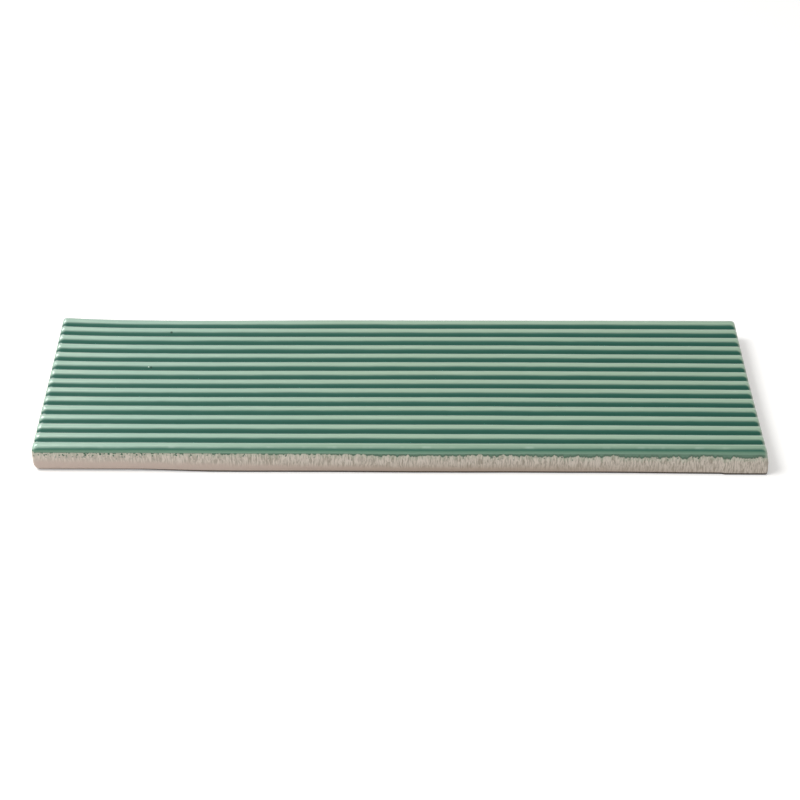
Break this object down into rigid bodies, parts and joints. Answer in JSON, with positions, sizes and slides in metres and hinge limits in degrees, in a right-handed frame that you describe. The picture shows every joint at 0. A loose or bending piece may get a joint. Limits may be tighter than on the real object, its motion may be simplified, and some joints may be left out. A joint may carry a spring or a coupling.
{
  "type": "fluted ceramic tile",
  "caption": "Oblong glazed ceramic wall tile with convex lengthwise ridges, rolled-over ends and an unglazed edge, for bedding in adhesive.",
  "frame": {"origin": "middle of the back face, which lies on the bed or floor", "axes": "+X along the ridges and the long side, +Y across the ridges, +Z out of the glazed face"},
  "size_m": [0.3, 0.1, 0.0113],
  "materials": {
    "glaze": "glossy celadon green glaze that breaks pale on the ridges and pools dark in the creases, over bare biscuit on the edges and back"
  },
  "bodies": {
    "root": {"tile": "glaze"}
  },
  "joints": []
}
